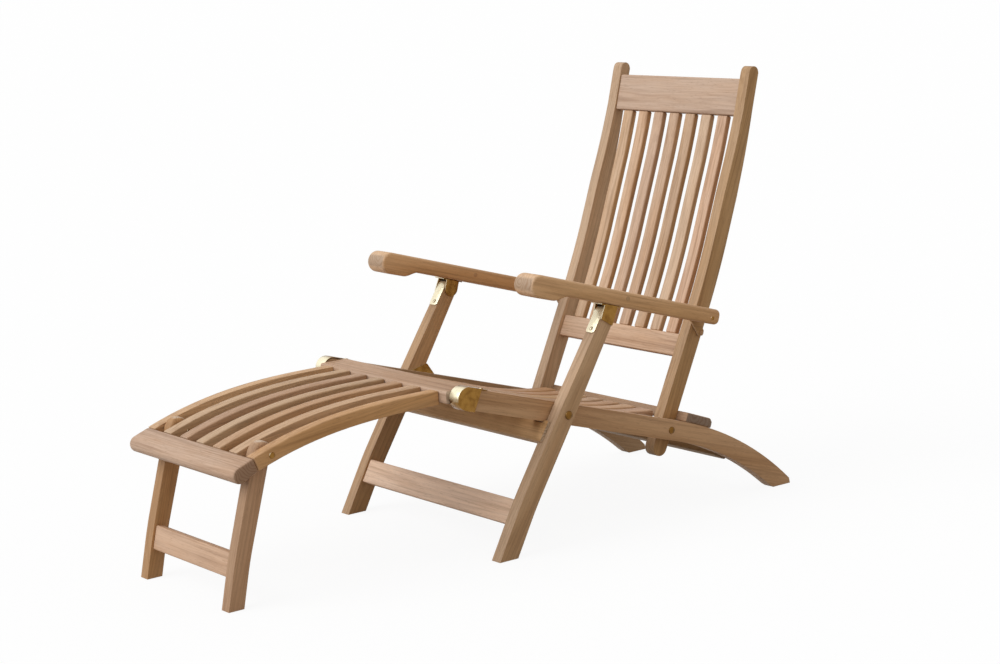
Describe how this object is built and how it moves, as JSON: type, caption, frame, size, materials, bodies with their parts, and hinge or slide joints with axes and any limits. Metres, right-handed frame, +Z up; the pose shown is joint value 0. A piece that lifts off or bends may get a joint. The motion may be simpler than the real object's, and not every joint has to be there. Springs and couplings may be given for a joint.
{
  "type": "folding deck chair",
  "caption": "Folding slatted wooden deck chair with scrolled arms, a bowed backrest, brass hinge fittings and a hinged footrest on folding legs.",
  "frame": {"origin": "on the floor under the middle of the seat, on the chair's plane of symmetry", "axes": "+X to the sitter's left, +Y towards the backrest, +Z up"},
  "size_m": [0.6098, 1.4014, 0.9366],
  "materials": {
    "teak": "oiled",
    "brass": "polished"
  },
  "bodies": {
    "seat": {"seat_rail_left": "teak", "seat_rail_right": "teak", "rail_cap_left": "brass", "rail_cap_right": "brass", "leg_bolt_left": "brass", "leg_bolt_right": "brass", "leg_plate_left": "brass", "leg_plate_right": "brass", "back_bolt_left": "brass", "back_bolt_right": "brass", "front_batten": "teak", "rear_batten": "teak", "back_stop_rail": "teak", "rear_stretcher": "teak", "seat_slat_1": "teak", "seat_slat_2": "teak", "seat_slat_3": "teak", "seat_slat_4": "teak", "seat_slat_5": "teak", "seat_slat_6": "teak", "seat_slat_7": "teak"},
    "front_legs": {"front_leg_left": "teak", "front_leg_right": "teak", "leg_strap_left": "brass", "leg_strap_right": "brass", "leg_stretcher_upper": "teak", "leg_stretcher_lower": "teak"},
    "backrest": {"back_post_left": "teak", "back_post_right": "teak", "arm_bolt_left": "brass", "arm_bolt_right": "brass", "back_top_rail": "teak", "back_lower_rail": "teak", "back_slat_1": "teak", "back_slat_2": "teak", "back_slat_3": "teak", "back_slat_4": "teak", "back_slat_5": "teak", "back_slat_6": "teak", "back_slat_7": "teak"},
    "arm_left": {"arm_left": "teak", "arm_bracket_left": "brass", "arm_plate_left": "teak"},
    "arm_right": {"arm_right": "teak", "arm_bracket_right": "brass", "arm_plate_right": "teak"},
    "footrest": {"foot_rail_left": "teak", "foot_rail_right": "teak", "foot_pin_left": "brass", "foot_pin_right": "brass", "foot_board": "teak", "foot_hinge_bar": "teak", "foot_slat_1": "teak", "foot_slat_2": "teak", "foot_slat_3": "teak", "foot_slat_4": "teak", "foot_slat_5": "teak"},
    "footrest_legs": {"foot_leg_left": "teak", "foot_leg_right": "teak", "foot_stretcher": "teak"}
  },
  "joints": [
    {"name": "front_legs_fold", "type": "hinge", "parent": "seat", "child": "front_legs", "pos_m": [0, 0.06169, 0.27402], "axis": [1, 0, 0], "range_deg": [0, 65]},
    {"name": "backrest_fold", "type": "hinge", "parent": "seat", "child": "backrest", "pos_m": [0, 0.36213, 0.18274], "axis": [1, 0, 0], "range_deg": [0, 65]},
    {"name": "arm_left_fold", "type": "hinge", "parent": "front_legs", "child": "arm_left", "pos_m": [0, 0.18145, 0.46568], "axis": [1, 0, 0], "range_deg": [-65, 0]},
    {"name": "arm_right_fold", "type": "hinge", "parent": "front_legs", "child": "arm_right", "pos_m": [0, 0.18145, 0.46568], "axis": [1, 0, 0], "range_deg": [-65, 0]},
    {"name": "footrest_hinge", "type": "hinge", "parent": "seat", "child": "footrest", "pos_m": [0, -0.16699, 0.3435], "axis": [1, 0, 0], "range_deg": [-45, 0]},
    {"name": "footrest_legs_fold", "type": "hinge", "parent": "footrest", "child": "footrest_legs", "pos_m": [0, -0.59599, 0.29962], "axis": [1, 0, 0], "range_deg": [0, 100]}
  ],
  "couplings": [
    {"joint": "backrest_fold", "follows": "front_legs_fold", "ratio": 1},
    {"joint": "arm_left_fold", "follows": "front_legs_fold", "ratio": -1},
    {"joint": "arm_right_fold", "follows": "front_legs_fold", "ratio": -1}
  ]
}
